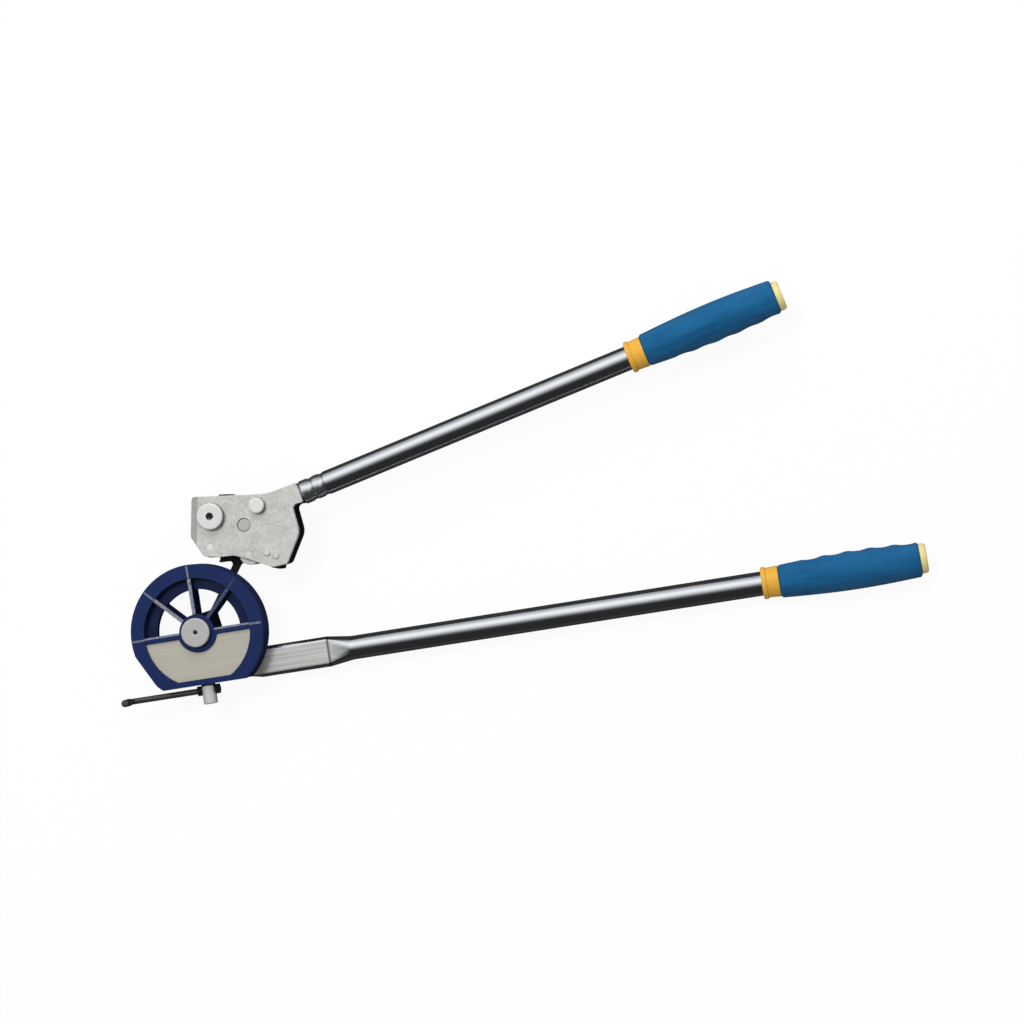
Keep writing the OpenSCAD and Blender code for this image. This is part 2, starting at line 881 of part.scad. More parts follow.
module lever_main_tie_bolt() {
    socket_af = main_bolt_d * 0.6;
    color(zinc)
        at_head()
            translate(main_spot)
                difference() {
                    union() {
                        translate([0, 0, half_head + plate_t])
                            rounded_head(main_head_d / 2, main_head_t, 1.2);
                        translate([0, 0, -half_head - arm_t - main_bolt_d])
                            cylinder(d = main_bolt_d, h = 2 * half_head + arm_t + plate_t + main_bolt_d);
                    }
                    translate([0, 0, half_head + plate_t + 1])
                        cylinder(r = socket_af / 2 / cos(30), h = main_head_t, $fn = 6);
                }
}

module lever_main_tie_sleeve() {
    color(zinc)
        at_head()
            translate(main_spot)
                ring(main_sleeve_r, main_bolt_d / 2 + seat_play, -half_head, half_head);
}

module lever_main_tie_nut() {
    color(zinc)
        at_head()
            translate([main_spot.x, main_spot.y, -half_head - arm_t - main_bolt_d * 0.8])
                hex_nut(main_bolt_d * 1.7, main_bolt_d / 2 + seat_play, main_bolt_d * 0.8);
}

module lever_tie_bolt() {
    color(chrome)
        at_head()
            translate(tie_spot) {
                translate([0, 0, half_head + plate_t])
                    rounded_head(tie_head_d / 2, tie_head_t, 1.4);
                translate([0, 0, -half_head - arm_t - tie_bolt_d])
                    cylinder(d = tie_bolt_d, h = 2 * half_head + arm_t + plate_t + tie_bolt_d);
            }
}

module lever_tie_nut() {
    color(zinc)
        at_head()
            translate([tie_spot.x, tie_spot.y, -half_head - arm_t - tie_bolt_d * 0.8])
                hex_nut(tie_bolt_d * 1.6, tie_bolt_d / 2 + seat_play, tie_bolt_d * 0.8);
}

module lever_flush_dowel() {
    color([0.55, 0.56, 0.55])
        at_head()
            translate([dowel_spot.x, dowel_spot.y, -half_head - arm_t])
                rounded_head(dowel_d / 2, 2 * half_head + arm_t + plate_t - dowel_sink, dowel_soft);
}

module lever_plate_rivets() {
    color(zinc)
        at_head()
            for (spot = rivet_spots)
                translate(spot) {
                    translate([0, 0, -half_head - arm_t])
                        cylinder(d = rivet_d, h = 2 * half_head + arm_t + plate_t);
                    translate([0, 0, half_head + plate_t])
                        rounded_head(rivet_d * 0.75, rivet_h, rivet_h * 0.6);
                }
}

module roller_axle(spot) {
    axle_half = bush_half + face_gap;
    color(zinc)
        at_head()
            translate(spot) {
                cylinder(d = axle_d, h = 2 * axle_half, center = true);
                translate([0, 0, -half_head - arm_t])
                    cylinder(d = axle_end_d, h = 2 * half_head + arm_t + plate_t);
            }
}

module roller_axle_1() {
    roller_axle(roller_spots[0]);
}

module roller_axle_2() {
    roller_axle(roller_spots[1]);
}

// Rollers
module roller(spot) {
    color(zinc)
        at_head()
            translate(spot)
                rotate_extrude()
                    difference() {
                        translate([roller_core_r + seat_play, -half_wheel])
                            square([roller_r - roller_core_r - seat_play, wheel_t]);
                        translate([roller_groove_x, 0])
                            circle(r = groove_r);
                    }
}

module roller_bush(spot) {
    color(bronze)
        at_head()
            translate(spot)
                ring(roller_core_r, axle_d / 2 + run_play, -bush_half, bush_half);
}

module roller_1() {
    roller(roller_spots[0]);
}

module roller_1_bush() {
    roller_bush(roller_spots[0]);
}

module roller_2() {
    roller(roller_spots[1]);
}

module roller_2_bush() {
    roller_bush(roller_spots[1]);
}

// Lever handle
module lever_handle_tube() {
    tube_len = lever_reach + collar_len + grip_len;
    inside = crimped(handle_bore_r);
    color(chrome)
        at_lever_handle()
            along_x()
                rotate_extrude()
                    polygon(concat(
                        [[handle_r, 0]],
                        crimped(handle_r),
                        [[handle_r, tube_len], [handle_bore_r, tube_len]],
                        [for (i = [len(inside) - 1 : -1 : 0]) inside[i]],
                        [[handle_bore_r, 0]]
                    ));
}

module lever_handle_collar() {
    color(trim_yellow)
        at_lever_handle(lever_reach)
            along_x()
                collar_shape();
}

module lever_handle_grip() {
    color(grip_blue)
        at_lever_handle(lever_reach + collar_len)
            mirror([0, 1, 0])
                along_x()
                    grip_shape();
}

module lever_handle_end_cap() {
    color(trim_yellow)
        at_lever_handle(lever_reach + collar_len + grip_len)
            along_x()
                cap_shape();
}

// Tube hook
module hook_stud() {
    color(chrome)
        translate([0, 0, mid_z])
            difference() {
                union() {
                    translate([0, stud_top, 0])
                        rotate([90, 0, 0])
                            rounded_head(stud_d / 2, stud_len, 1);
                    translate([0, stud_top - 1, 0])
                        rotate([-90, 0, 0])
                            cylinder(d = shank_d, h = shank_len + 1);
                }
                translate([0, keeper_y, 0])
                    rotate([90, 0, 0])
                        ring(shank_d, shank_neck_r, -keeper_d / 2 - face_gap, keeper_d / 2 + face_gap);
                translate([0, rod_y, 0])
                    along_x()
                        cylinder(r = hook_rod_d / 2 + seat_play, h = 2 * stud_d, center = true);
            }
}

module hook_rod() {
    rod_right = stud_d / 2 + hook_nut_t + 0.6;
    color([0.30, 0.31, 0.32])
        translate([0, rod_y, mid_z]) {
            translate([-leg_x + bend_rod_r, 0, 0])
                along_x()
                    cylinder(d = hook_rod_d, h = leg_x - bend_rod_r + rod_right);
            translate([-leg_x + bend_rod_r, 0, bend_rod_r])
                rotate([90, 0, 0])
                    rotate(180)
                        rotate_extrude(angle = 90)
                            translate([bend_rod_r, 0])
                                circle(d = hook_rod_d);
            translate([-leg_x, 0, bend_rod_r])
                cylinder(d = hook_rod_d, h = 2);
            translate([-leg_x, 0, bend_rod_r + 1])
                rounded_head(hook_tip_d / 2, hook_leg - bend_rod_r - 1, 1);
        }
}

module hook_lock_nuts() {
    color(black_steel)
        translate([0, rod_y, mid_z])
            for (side = [0, 1])
                mirror([side, 0, 0])
                    translate([stud_d / 2, 0, 0])
                        along_x()
                            hex_nut(hook_nut_af, hook_rod_d / 2 + seat_play, hook_nut_t);
}

forming_wheel();
label_plate();
pivot_pin();
pivot_thrust_washer();
pivot_washer();
pivot_nut();
hook_keeper_pin();
fixed_handle_tube();
fixed_handle_bolts();
fixed_handle_collar();
fixed_handle_grip();
fixed_handle_end_cap();
lever_front_plate();
lever_swing_arm();
lever_pivot_bush();
lever_spacer_block();
lever_main_tie_bolt();
lever_main_tie_sleeve();
lever_main_tie_nut();
lever_tie_bolt();
lever_tie_nut();
lever_flush_dowel();
lever_plate_rivets();
roller_axle_1();
roller_axle_2();
lever_handle_tube();
lever_handle_collar();
lever_handle_grip();
lever_handle_end_cap();
roller_1();
roller_1_bush();
roller_2();
roller_2_bush();
hook_stud();
hook_rod();
hook_lock_nuts();
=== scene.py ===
import math

import bpy
from mathutils import Matrix, Vector


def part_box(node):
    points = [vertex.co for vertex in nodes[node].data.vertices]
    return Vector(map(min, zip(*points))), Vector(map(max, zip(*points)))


# Studio scene of a lever tube bender. The CAD nodes carry the shapes, and this script gives them
# their surfaces, the light and the camera. Metres, in the CAD frame: the tool lies on its back on
# the floor, Z is the bending axis, and X runs along the fixed handle.

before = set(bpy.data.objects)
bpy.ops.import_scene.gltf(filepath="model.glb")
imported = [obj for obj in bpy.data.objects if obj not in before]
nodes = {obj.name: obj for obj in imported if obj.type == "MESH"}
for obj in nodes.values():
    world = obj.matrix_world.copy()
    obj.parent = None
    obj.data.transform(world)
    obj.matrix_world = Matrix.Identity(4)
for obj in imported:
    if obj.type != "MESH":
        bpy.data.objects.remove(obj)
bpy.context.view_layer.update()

MM = 0.001

# Forming wheel: the heights of its middle, its rib edges and its angle marks, and the top and
# radius of the ledge inside its rim
WHEEL_MIDDLE = 31.5 * MM
RIB_EDGE = 41.5 * MM
MARK_TOP = 42.45 * MM
HEIGHT_MARGIN = 0.2 * MM
LEDGE_TOP = 34.5 * MM
LEDGE_RADIUS = 47.0 * MM

# Angles about the pivot between which the rib edges show little bare metal and look darker
DARK_RIB_ANGLES = (math.radians(30.0), math.radians(60.0))
DARK_RIB_SOFT = 0.1

# Direction of the lever's handle, the end of its crimps along it and the length over which their
# dullness fades, and the end of the flat tongue and the start of the tube on the fixed handle
LEVER_ANGLE = math.radians(12.8)
CRIMP_END = 144.0 * MM
CRIMP_FADE = 4.0 * MM
TONGUE_END = 103.0 * MM
TUBE_START = 123.0 * MM

# The camera of the photograph: distance, turn and roll were worked out from the wheel and the tubes
IMAGE_SIZE = 1024
SENSOR = 36.0
FOCAL_PIXELS = 2431.0
CAMERA_DISTANCE = 2.0
CAMERA_TURN = math.radians(8.0)
CAMERA_ROLL = math.radians(9.18)
WHEEL_PIXEL = (200.0, 631.8)

# Floor, and the dark card on it that only reflections see. The floor looks white by this share, and
# the rest of it takes the shadow.
SHEET_CENTRE = (0.25, 0.0)
FLOOR_SIZE = 12.0
FLOOR_HEIGHT = -0.2 * MM
FLOOR_TONE = 0.9
WHITE_SHARE = 0.94
CARD_SIZE = 12.4
CARD_HEIGHT = -0.1 * MM
CARD_TONE = 0.035

# Light: the even light all round, and the lamps with their place, size and power
EVEN_LIGHT = 0.34
LAMP_TARGET = (0.25, 0.05, 0.02)
LAMPS = (
    ("key", (-0.45, 1.1, 3.0), 0.7, 60.0),
    ("fill", (0.6, 2.6, 2.0), 1.4, 36.0),
)

# What reflections see of the studio: its brightness by the angle in degrees from straight up,
# towards +Y, and the span of sideways direction over which it falls to a share
STUDIO = (
    (-180, 0.04), (-90, 0.02), (-25, 0.02), (-12, 0.09), (0, 0.33), (14, 0.70),
    (30, 1.0), (45, 0.96), (60, 0.64), (77, 0.42), (100, 0.26), (180, 0.06),
)
STUDIO_SIDES = (0.3, 0.85)
STUDIO_SIDE_SHARE = 0.7

# Colours: the deep and the light tone that a pattern moves between, and what shows at worn places
PAINT_DEEP = (0.0048, 0.0135, 0.066, 1.0)
PAINT_LIGHT = (0.0095, 0.0255, 0.110, 1.0)
# Painted shade for the ledge inside the wheel's rim
PAINT_LEDGE_SHADE = (0.003, 0.004, 0.010, 1.0)
PAINT_WORN = (0.36, 0.37, 0.44, 1.0)
LABEL_DEEP = (0.52, 0.495, 0.42, 1.0)
LABEL_LIGHT = (0.70, 0.67, 0.585, 1.0)
LABEL_EDGE = (0.66, 0.65, 0.61, 1.0)
PLATE_DEEP = (0.58, 0.575, 0.555, 1.0)
PLATE_LIGHT = (0.88, 0.875, 0.85, 1.0)
FASTENER_LIGHT = (0.64, 0.63, 0.60, 1.0)
RIVET_LIGHT = (0.84, 0.83, 0.80, 1.0)
CHROME_DEEP = (0.81, 0.845, 0.895, 1.0)
CHROME_LIGHT = (0.90, 0.93, 0.97, 1.0)
PRESSED_DEEP = (0.56, 0.56, 0.555, 1.0)
PRESSED_LIGHT = (0.77, 0.77, 0.755, 1.0)
BRONZE_DEEP = (0.36, 0.21, 0.08, 1.0)
BRONZE_LIGHT = (0.52, 0.33, 0.14, 1.0)
GRIP_DEEP = (0.004, 0.070, 0.182, 1.0)
GRIP_LIGHT = (0.013, 0.138, 0.315, 1.0)
COLLAR_DEEP = (0.72, 0.36, 0.035, 1.0)
COLLAR_LIGHT = (0.82, 0.45, 0.06, 1.0)
CAP_DEEP = (0.75, 0.61, 0.24, 1.0)
CAP_LIGHT = (0.85, 0.73, 0.34, 1.0)

# The band in which most values of a noise lie
NOISE_BAND = (0.3, 0.7)


def grey(value):
    return (value, value, value, 1.0)


class Graph:
    """A node tree under construction, with short ways to add and join its nodes."""

    def __init__(self, tree):
        self.tree = tree

    def join(self, value, socket):
        """Links a node's output to a socket, or sets the socket to a plain value."""
        if isinstance(value, bpy.types.NodeSocket):
            self.tree.links.new(value, socket)
        else:
            socket.default_value = value

    def node(self, kind, sockets=(), **settings):
        made = self.tree.nodes.new(kind)
        for key, value in settings.items():
            setattr(made, key, value)
        for key, value in dict(sockets).items():
            self.join(value, made.inputs[key])
        return made

    def part(self, vector, axis):
        return self.node("ShaderNodeSeparateXYZ", {"Vector": vector}).outputs[axis]

    def math(self, operation, a, b=0.0):
        return self.node("ShaderNodeMath", {0: a, 1: b}, operation=operation).outputs["Value"]

    def times(self, a, b):
        return self.math("MULTIPLY", a, b)

    def range(self, value, low, high, to_low=0.0, to_high=1.0):
        """Carries the span low to high over to another one, and holds its ends outside it."""
        sockets = {
            "Value": value,
            "From Min": low,
            "From Max": high,
            "To Min": to_low,
            "To Max": to_high,
        }
        return self.node("ShaderNodeMapRange", sockets).outputs["Result"]

    def spread(self, pattern, low, high):
        """Carries the usual band of a noise over to the span low to high."""
        return self.range(pattern, *NOISE_BAND, low, high)

    def between(self, value, low, high, soft):
        """1 between two values, falling to 0 over a soft margin outside them."""
        rise = self.range(value, low - soft, low)
        fall = self.range(value, high, high + soft, 1.0, 0.0)
        return self.times(rise, fall)

    def blend(self, share, a, b):
        """Mixes two shaders."""
        return self.node("ShaderNodeMixShader", {0: share, 1: a, 2: b}).outputs["Shader"]


class Surface(Graph):
    """A material under construction. Its patterns lie in the piece's own coordinates."""

    def __init__(self, name, **sockets):
        self.material = bpy.data.materials.new(name)
        self.material.use_nodes = True
        super().__init__(self.material.node_tree)
        self.shader = self.tree.nodes["Principled BSDF"]
        for socket, value in sockets.items():
            self.set(socket.replace("_", " "), value)

    def set(self, socket, value):
        self.join(value, self.shader.inputs[socket])

    def place(self, stretch=(1.0, 1.0, 1.0), turn=0.0):
        """Object coordinates, turned about Z and stretched: a small number draws a pattern out."""
        spot = self.node("ShaderNodeTexCoord").outputs["Object"]
        turned = self.node("ShaderNodeMapping", {"Vector": spot, "Rotation": (0.0, 0.0, -turn)})
        sockets = {"Vector": turned.outputs["Vector"], "Scale": stretch}
        return self.node("ShaderNodeMapping", sockets).outputs["Vector"]

    def noise(self, scale, detail=3.0, rough=0.5, spot=None):
        """Cloudy pattern, with scale as its number of clouds to the metre."""
        sockets = {
            "Vector": spot or self.place(),
            "Scale": scale,
            "Detail": detail,
            "Roughness": rough,
        }
        return self.node("ShaderNodeTexNoise", sockets).outputs["Fac"]

    def cells(self, scale):
        """Pebbled pattern, with scale as its number of pebbles to the metre."""
        sockets = {"Vector": self.place(), "Scale": scale}
        return self.node("ShaderNodeTexVoronoi", sockets).outputs["Distance"]

    def height(self):
        """Height above the floor, with the tool at rest."""
        return self.part(self.place(), "Z")

    def facing_up(self):
        """1 where the surface faces straight up with the tool at rest, -1 where it faces down."""
        return self.part(self.node("ShaderNodeTexCoord").outputs["Normal"], "Z")

    def radius(self, axis):
        """Distance from an upright axis."""
        spot = self.node("ShaderNodeTexCoord").outputs["Object"]
        sockets = {"Vector": spot, "Location": (-axis.x, -axis.y, 0.0)}
        moved = self.node("ShaderNodeMapping", sockets).outputs["Vector"]
        flat = self.node("ShaderNodeVectorMath", {0: moved, 1: (1.0, 1.0, 0.0)},
                         operation="MULTIPLY").outputs["Vector"]
        return self.node("ShaderNodeVectorMath", {0: flat}, operation="LENGTH").outputs["Value"]

    def rings(self, axis, pitch):
        """Noise that runs in circles round an upright axis, as turning marks do."""
        sockets = {"W": self.radius(axis), "Scale": 1.0 / pitch, "Detail": 3.0}
        return self.node("ShaderNodeTexNoise", sockets, noise_dimensions="1D").outputs["Fac"]

    def mix(self, share, a, b):
        """Mixes two colours."""
        sockets = {0: share, 6: a, 7: b}
        return self.node("ShaderNodeMix", sockets, data_type="RGBA").outputs[2]

    def soft_normal(self, radius):
        """The surface's normal, turned over near edges as if they were rounded."""
        return self.node("ShaderNodeBevel", {"Radius": radius}, samples=6).outputs["Normal"]

    def edges(self, radius, low=0.02, high=0.25):
        """1 at edges and 0 on flat and gently curved surfaces."""
        true_normal = self.node("ShaderNodeNewGeometry").outputs["Normal"]
        same = self.node("ShaderNodeVectorMath", {0: self.soft_normal(radius), 1: true_normal},
                         operation="DOT_PRODUCT").outputs["Value"]
        return self.range(self.math("SUBTRACT", 1.0, same), low, high)

    def relief(self, height, depth, edge_radius, strength):
        """Turns a height pattern into bumps that many metres deep, on softened edges."""
        sockets = {
            "Height": height,
            "Distance": depth,
            "Strength": strength,
            "Normal": self.soft_normal(edge_radius),
        }
        self.set("Normal", self.node("ShaderNodeBump", sockets).outputs["Normal"])


def wheel_paint():
    """Navy enamel on a casting: orange peel, painted shade darkening the ledge in the rim, worn
    edges, and bare metal on the rib edges and angle marks."""
    s = Surface("wheel_paint", Specular_IOR_Level=0.3)
    paint = s.mix(s.noise(60.0, 4.0), PAINT_DEEP, PAINT_LIGHT)
    height = s.height()
    # Painted shade: the ledge inside the rim is darkened halfway to near black
    on_ledge = s.between(height, WHEEL_MIDDLE, LEDGE_TOP, 2 * MM)
    inside = s.range(s.radius(Vector()), LEDGE_RADIUS, LEDGE_RADIUS + MM, 0.5, 0.0)
    paint = s.mix(s.times(on_ledge, inside), paint, PAINT_LEDGE_SHADE)
    off_rib = s.math("ABSOLUTE", s.math("SUBTRACT", height, RIB_EDGE))
    on_rib = s.math("LESS_THAN", off_rib, HEIGHT_MARGIN)
    on_mark = s.math("GREATER_THAN", height, MARK_TOP - HEIGHT_MARGIN)
    upward = s.math("GREATER_THAN", s.facing_up(), 0.9)
    bare = s.times(upward, s.math("MAXIMUM", on_rib, s.times(on_mark, 0.6)))
    spot = s.place()
    angle = s.math("ARCTAN2", s.part(spot, "Y"), s.part(spot, "X"))
    # Between these angles the bare rib edge is cut to 0.15 of its share, so the rib looks darker
    dark_rib = s.between(angle, *DARK_RIB_ANGLES, DARK_RIB_SOFT)
    bare = s.times(bare, s.range(dark_rib, 0.0, 1.0, 1.0, 0.15))
    worn = s.times(s.edges(0.5 * MM), s.range(s.noise(240.0, 5.0), 0.35, 0.7))
    share = s.math("MAXIMUM", bare, s.times(worn, 0.4))
    share = s.times(share, s.range(s.noise(500.0, 4.0), 0.25, 0.55))
    s.set("Base Color", s.mix(share, paint, PAINT_WORN))
    s.set("Metallic", s.times(share, 0.5))
    s.set("Roughness", s.spread(s.noise(160.0), 0.34, 0.46))
    s.relief(s.noise(900.0), depth=0.12 * MM, edge_radius=0.5 * MM, strength=0.5)
    return s.material


def label_metal():
    """Champagne sheet metal, brushed along X, with a paler cut edge. The label is bare."""
    s = Surface("label_metal", Metallic=0.45)
    brush = s.noise(220.0, 5.0, 0.6, s.place((0.08, 3.0, 1.0)))
    tone = s.mix(brush, LABEL_DEEP, LABEL_LIGHT)
    s.set("Base Color", s.mix(s.edges(0.6 * MM), tone, LABEL_EDGE))
    s.set("Roughness", s.spread(brush, 0.36, 0.5))
    s.relief(brush, depth=0.02 * MM, edge_radius=0.25 * MM, strength=0.6)
    return s.material


def plate_steel(name, deep, light, metallic, roughness, edge_radius=0.4 * MM):
    """Zinc-plated steel: blasted grain, a mottle, painted highlights on edges, painted shade on
    bevels.
    """
    s = Surface(name, Metallic=metallic)
    mottle = s.math("ADD", s.noise(90.0, 6.0, 0.62), s.noise(480.0))
    tone = s.mix(s.range(mottle, 0.65, 1.35), deep, light)
    # Painted shade: faces tilted a little from the plate's face are darkened
    shaded_bevel = s.between(s.facing_up(), 0.82, 0.95, 0.02)
    tone = s.mix(s.times(shaded_bevel, 0.6), tone, grey(0.3))
    # Painted highlight: the edges are lightened towards pale grey
    s.set("Base Color", s.mix(s.times(s.edges(edge_radius), 0.5), tone, grey(0.85)))
    s.set("Roughness", s.spread(s.noise(400.0, 4.0), roughness - 0.06, roughness + 0.08))
    s.relief(s.noise(2600.0, 2.0), depth=0.03 * MM, edge_radius=edge_radius, strength=0.45)
    return s.material


def turned_steel(node, tone, metallic, roughness, pit=0.0, dull=0.0):
    """Machined steel of pins, bolts and rollers, with fine turning marks round the piece's own
    axis. A socket or dimple of radius pit in the middle of its head is painted dark as shade. A
    given share of painted shade darkens the sides of a head against its face."""
    low, high = (Vector(corner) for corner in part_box(node))
    axis = (low + high) / 2
    s = Surface("steel_" + node, Metallic=metallic)
    marks = s.rings(axis, pitch=0.7 * MM)
    warm = (tone, tone * 0.985, tone * 0.955, 1.0)
    colour = s.mix(s.times(marks, s.noise(150.0, 4.0)), warm, grey(tone * 0.7))
    # Painted shade on the sides of a head
    if dull:
        sides = s.range(s.math("ABSOLUTE", s.facing_up()), 0.25, 0.6, dull, 0.0)
        colour = s.mix(sides, colour, grey(0.04))
    # Painted shade in the socket or dimple of a head
    if pit:
        inside = s.range(s.radius(axis), 0.5 * pit, pit, 1.0, 0.0)
        sunk = s.range(s.height(), high.z - 0.8 * MM, high.z - 0.2 * MM, 1.0, 0.0)
        colour = s.mix(s.times(inside, sunk), colour, grey(0.03))
    s.set("Base Color", colour)
    s.set("Roughness", s.spread(marks, roughness - 0.05, roughness + 0.07))
    s.relief(marks, depth=0.02 * MM, edge_radius=0.5 * MM, strength=0.35)
    return s.material


def chrome_tube(name, turn, pressed_to, fade, dull, tongue=False):
    """Chromed tube with hairline drawing marks along its length. Where a press has worked it, up to
    pressed_to, it is streaked and satin by the given share. A tongue is satin on its flat alone,
    and painted shade darkens its crease."""
    s = Surface(name)
    hairs = s.noise(900.0, spot=s.place((0.02, 1.0, 1.0), turn))
    streaks = s.noise(420.0, spot=s.place((0.03, 1.0, 1.0), turn))
    along = s.part(s.place(turn=turn), "X")
    satin = s.range(along, pressed_to, pressed_to + fade, dull, 0.0)
    if tongue:
        satin = s.times(satin, s.range(s.math("ABSOLUTE", s.facing_up()), 0.90, 0.96))
    chrome = s.mix(s.noise(25.0, 4.0), CHROME_DEEP, CHROME_LIGHT)
    pressed = s.mix(s.range(streaks, 0.35, 0.65), PRESSED_DEEP, PRESSED_LIGHT)
    colour = s.mix(satin, chrome, pressed)
    # Painted shade: a dark line along the tongue's crease
    if tongue:
        crease = s.between(along, pressed_to + 0.3 * MM, pressed_to + 1.2 * MM, 1.2 * MM)
        colour = s.mix(s.times(crease, 0.75), colour, grey(0.03))
    s.set("Base Color", colour)
    s.set("Metallic", s.range(satin, 0.0, 1.0, 1.0, 0.45))
    s.set("Roughness", s.math("ADD", s.spread(hairs, 0.10, 0.17), s.times(satin, 0.28)))
    s.relief(hairs, depth=0.01 * MM, edge_radius=0.4 * MM, strength=0.3)
    return s.material


def black_steel():
    """Blackened steel with a dry, slightly cloudy skin and rubbed edges."""
    s = Surface("black_steel", Metallic=0.35)
    cloud = s.noise(130.0, 5.0, 0.6)
    tone = s.mix(cloud, grey(0.008), grey(0.022))
    s.set("Base Color", s.mix(s.times(s.edges(0.4 * MM), 0.35), tone, grey(0.2)))
    s.set("Roughness", s.spread(cloud, 0.36, 0.52))
    s.relief(s.noise(1500.0), depth=0.03 * MM, edge_radius=0.35 * MM, strength=0.4)
    return s.material


def bronze():
    """Oil-soaked bearing bronze."""
    s = Surface("bronze", Metallic=0.9)
    cloud = s.noise(300.0, 5.0)
    s.set("Base Color", s.mix(cloud, BRONZE_DEEP, BRONZE_LIGHT))
    s.set("Roughness", s.spread(cloud, 0.34, 0.5))
    s.relief(s.noise(1800.0), depth=0.02 * MM, edge_radius=0.3 * MM, strength=0.4)
    return s.material


def grip_rubber(name, turn):
    """Blue soft plastic with a fine pebble grain, lightly rubbed and streaked along the grip."""
    s = Surface(name, Specular_IOR_Level=0.22)
    cloud = s.noise(60.0, 5.0, 0.6, s.place((0.3, 1.0, 1.0), turn))
    streaks = s.noise(260.0, 4.0, 0.6, s.place((0.10, 1.0, 1.0), turn))
    rub = s.range(s.math("ADD", cloud, streaks), 0.6, 1.4)
    s.set("Base Color", s.mix(rub, GRIP_DEEP, GRIP_LIGHT))
    s.set("Roughness", s.spread(rub, 0.48, 0.6))
    s.relief(s.cells(950.0), depth=0.12 * MM, edge_radius=0.6 * MM, strength=0.35)
    return s.material


def trim_plastic(name, deep, light):
    """Yellow moulded plastic of the collars and end caps."""
    s = Surface(name, Specular_IOR_Level=0.5)
    s.set("Base Color", s.mix(s.noise(70.0, 4.0), deep, light))
    s.set("Roughness", s.spread(s.noise(300.0), 0.32, 0.42))
    s.relief(s.noise(1300.0, 2.0), depth=0.03 * MM, edge_radius=0.5 * MM, strength=0.35)
    return s.material


def dress(material, *names):
    for name in names:
        slots = nodes[name].data.materials
        slots.clear()
        slots.append(material)


def dress_turned(*names, **finish):
    for name in names:
        dress(turned_steel(name, **finish), name)


def dress_tool():
    """Gives every node its surface."""
    dress(wheel_paint(), "forming_wheel")
    dress(label_metal(), "label_plate")
    dress(plate_steel("plate_zinc", PLATE_DEEP, PLATE_LIGHT, metallic=0.45, roughness=0.42,
                      edge_radius=0.8 * MM),
          "lever_front_plate")
    dress(plate_steel("fastener_zinc", grey(0.50), FASTENER_LIGHT, metallic=0.6, roughness=0.36),
          "pivot_washer", "pivot_nut", "hook_keeper_pin", "fixed_handle_bolts",
          "lever_main_tie_nut", "lever_tie_nut", "lever_main_tie_sleeve")
    dress(plate_steel("rivet_zinc", grey(0.72), RIVET_LIGHT, metallic=0.4, roughness=0.34),
          "lever_plate_rivets")
    dress_turned("pivot_pin", tone=0.64, metallic=0.45, roughness=0.34, pit=2.8 * MM, dull=0.8)
    dress_turned("lever_main_tie_bolt", tone=0.87, metallic=0.30, roughness=0.30, pit=3.8 * MM,
                 dull=0.9)
    dress_turned("lever_tie_bolt", tone=0.89, metallic=0.30, roughness=0.28, dull=0.8)
    dress_turned("roller_axle_1", tone=0.91, metallic=0.28, roughness=0.32)
    dress_turned("roller_axle_2", tone=0.84, metallic=0.35, roughness=0.32)
    dress_turned("lever_flush_dowel", tone=0.62, metallic=0.40, roughness=0.38)
    dress_turned("roller_1", "roller_2", tone=0.84, metallic=0.45, roughness=0.28)
    dress_turned("hook_stud", tone=0.97, metallic=0.58, roughness=0.20)
    dress_turned("hook_rod", tone=0.13, metallic=0.75, roughness=0.34)
    dress(chrome_tube("chrome_fixed", turn=0.0, pressed_to=TONGUE_END,
                      fade=TUBE_START - TONGUE_END, dull=1.0, tongue=True),
          "fixed_handle_tube")
    dress(chrome_tube("chrome_lever", turn=LEVER_ANGLE, pressed_to=CRIMP_END,
                      fade=CRIMP_FADE, dull=0.06),
          "lever_handle_tube")
    dress(black_steel(), "lever_swing_arm", "lever_spacer_block", "hook_lock_nuts")
    dress(bronze(), "pivot_thrust_washer", "lever_pivot_bush", "roller_1_bush", "roller_2_bush")
    dress(grip_rubber("grip_fixed", turn=0.0), "fixed_handle_grip")
    dress(grip_rubber("grip_lever", turn=LEVER_ANGLE), "lever_handle_grip")
    dress(trim_plastic("collar_yellow", COLLAR_DEEP, COLLAR_LIGHT),
          "fixed_handle_collar", "lever_handle_collar")
    dress(trim_plastic("cap_yellow", CAP_DEEP, CAP_LIGHT),
          "fixed_handle_end_cap", "lever_handle_end_cap")


def flat_sheet(name, size, height, material):
    """A square sheet under the tool that isn't part of it."""
    x, y = SHEET_CENTRE
    half = size / 2
    corners = [(-half, -half), (half, -half), (half, half), (-half, half)]
    mesh = bpy.data.meshes.new(name)
    mesh.from_pydata([(x + a, y + b, height) for a, b in corners], [], [(0, 1, 2, 3)])
    mesh.materials.append(material)
    sheet = bpy.data.objects.new(name, mesh)
    bpy.context.collection.objects.link(sheet)
    return sheet


def make_floor():
    """A white floor: mostly plain white to the eye and to what metal and glass show of it, with the
    rest left to take the shadow."""
    s = Surface("floor", Base_Color=grey(FLOOR_TONE), Roughness=0.9)
    path = s.node("ShaderNodeLightPath").outputs
    seen = s.math("MAXIMUM", path["Is Camera Ray"], path["Is Glossy Ray"])
    seen = s.math("MAXIMUM", seen, path["Is Transmission Ray"])
    glow = s.node("ShaderNodeEmission").outputs["Emission"]
    both = s.blend(s.times(seen, WHITE_SHARE), s.shader.outputs["BSDF"], glow)
    s.join(both, s.tree.nodes["Material Output"].inputs["Surface"])
    flat_sheet("floor", FLOOR_SIZE, FLOOR_HEIGHT, s.material)


def make_dark_card():
    """A dark card on the floor that only reflections see, as a photographer darkens chrome."""
    s = Surface("dark_card", Base_Color=grey(CARD_TONE), Roughness=1.0, Specular_IOR_Level=0.0)
    card = flat_sheet("dark_card", CARD_SIZE, CARD_HEIGHT, s.material)
    card.visible_camera = False
    card.visible_diffuse = False
    card.visible_transmission = False
    card.visible_shadow = False


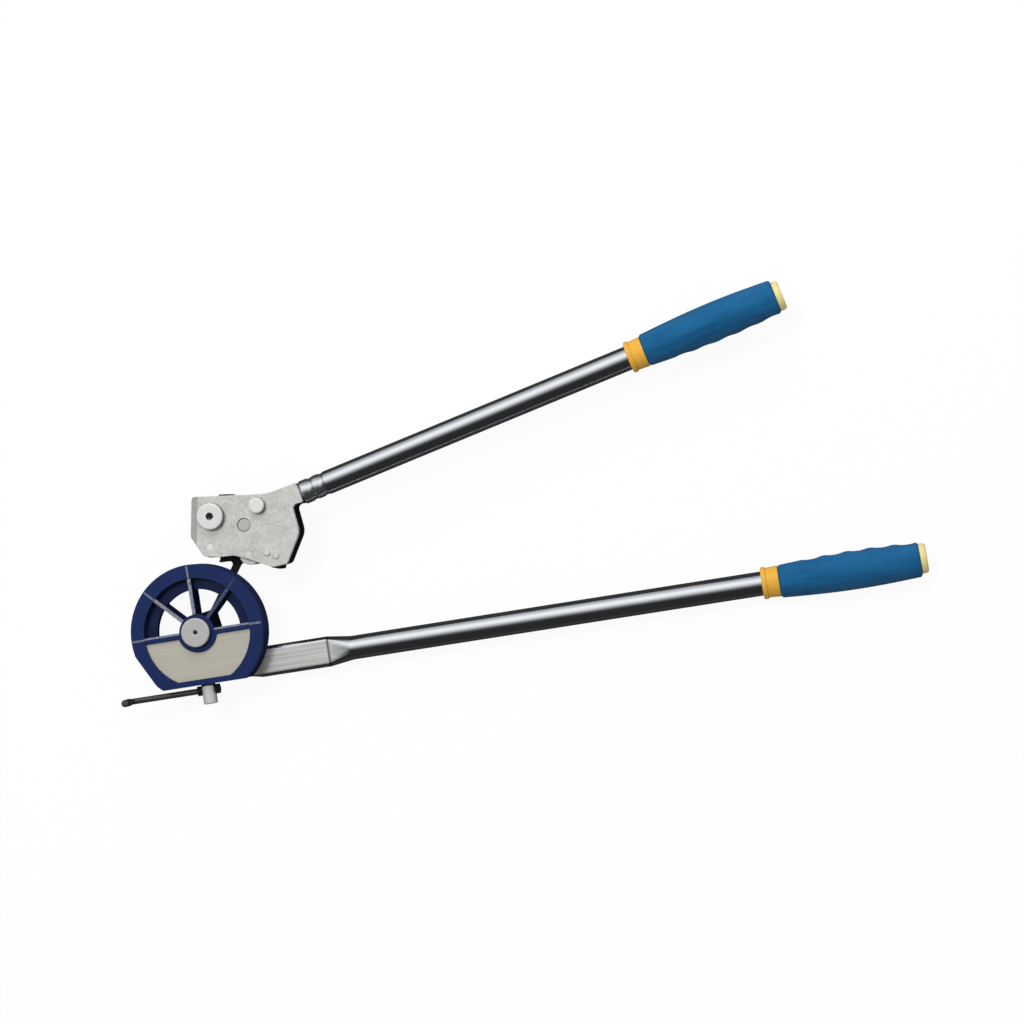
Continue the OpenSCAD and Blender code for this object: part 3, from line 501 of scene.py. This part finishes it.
def make_world():
    """Even light all round, white to the eye, and for reflections a studio: a soft box above the
    tool and a dark room below."""
    world = bpy.data.worlds.new("studio")
    bpy.context.scene.world = world
    world.use_nodes = True
    g = Graph(world.node_tree)
    even = g.tree.nodes["Background"]
    g.join(grey(1.0), even.inputs["Color"])
    g.join(EVEN_LIGHT, even.inputs["Strength"])
    way = g.node("ShaderNodeTexCoord").outputs["Generated"]
    tilt = g.math("ARCTAN2", g.part(way, "Y"), g.part(way, "Z"))
    ramp = g.node("ShaderNodeValToRGB", {"Fac": g.range(tilt, -math.pi, math.pi)})
    table = ramp.color_ramp.elements
    table[0].position = 0.0
    table[1].position = 1.0
    for angle, _ in STUDIO[1:-1]:
        table.new((angle + 180) / 360)
    for element, (_, brightness) in zip(table, STUDIO):
        element.color = grey(brightness)
    sideways = g.math("ABSOLUTE", g.part(way, "X"))
    strength = g.range(sideways, *STUDIO_SIDES, 1.0, STUDIO_SIDE_SHARE)
    sockets = {"Color": ramp.outputs["Color"], "Strength": strength}
    studio = g.node("ShaderNodeBackground", sockets)
    white = g.node("ShaderNodeBackground", {"Color": grey(1.0)})
    path = g.node("ShaderNodeLightPath").outputs
    views = (
        ("Is Camera Ray", white),
        ("Is Transmission Ray", white),
        ("Is Glossy Ray", studio),
    )
    light = even.outputs["Background"]
    for ray, view in views:
        light = g.blend(path[ray], light, view.outputs["Background"])
    g.join(light, g.tree.nodes["World Output"].inputs["Surface"])


def make_lamp(name, spot, size, watts):
    """A round soft lamp, aimed at the tool, that reflections don't see."""
    light = bpy.data.lights.new(name, "AREA")
    light.shape = "DISK"
    light.size = size
    light.energy = watts
    lamp = bpy.data.objects.new(name, light)
    aim = Vector(LAMP_TARGET) - Vector(spot)
    lamp.location = spot
    lamp.rotation_euler = aim.to_track_quat("-Z", "Y").to_euler()
    lamp.visible_glossy = False
    bpy.context.collection.objects.link(lamp)


def make_camera():
    """Puts the camera where the photograph was taken from."""
    c, s = math.cos(CAMERA_TURN), math.sin(CAMERA_TURN)
    along = Vector((c, 0.0, s))
    up = Vector((0.0, 1.0, 0.0))
    tool_z = Vector((-s, 0.0, c))
    tool_x = math.cos(CAMERA_ROLL) * along + math.sin(CAMERA_ROLL) * up
    tool_y = math.cos(CAMERA_ROLL) * up - math.sin(CAMERA_ROLL) * along
    to_tool = Matrix((tool_x, tool_y, tool_z))
    eye = Vector((0.0, 0.0, CAMERA_DISTANCE))
    middle = IMAGE_SIZE / 2
    ray = Vector((WHEEL_PIXEL[0] - middle, middle - WHEEL_PIXEL[1], -FOCAL_PIXELS))
    wheel = eye - ray * (eye.dot(tool_z) / ray.dot(tool_z))
    data = bpy.data.cameras.new("camera")
    data.sensor_fit = "HORIZONTAL"
    data.sensor_width = SENSOR
    data.lens = SENSOR * FOCAL_PIXELS / IMAGE_SIZE
    camera = bpy.data.objects.new("camera", data)
    spot = to_tool @ (eye - wheel) + Vector((0.0, 0.0, WHEEL_MIDDLE))
    camera.matrix_world = Matrix.Translation(spot) @ to_tool.to_4x4()
    bpy.context.collection.objects.link(camera)
    bpy.context.scene.camera = camera


dress_tool()
make_floor()
make_dark_card()
make_world()
for lamp_values in LAMPS:
    make_lamp(*lamp_values)
make_camera()
bpy.context.scene.view_settings.view_transform = "Standard"
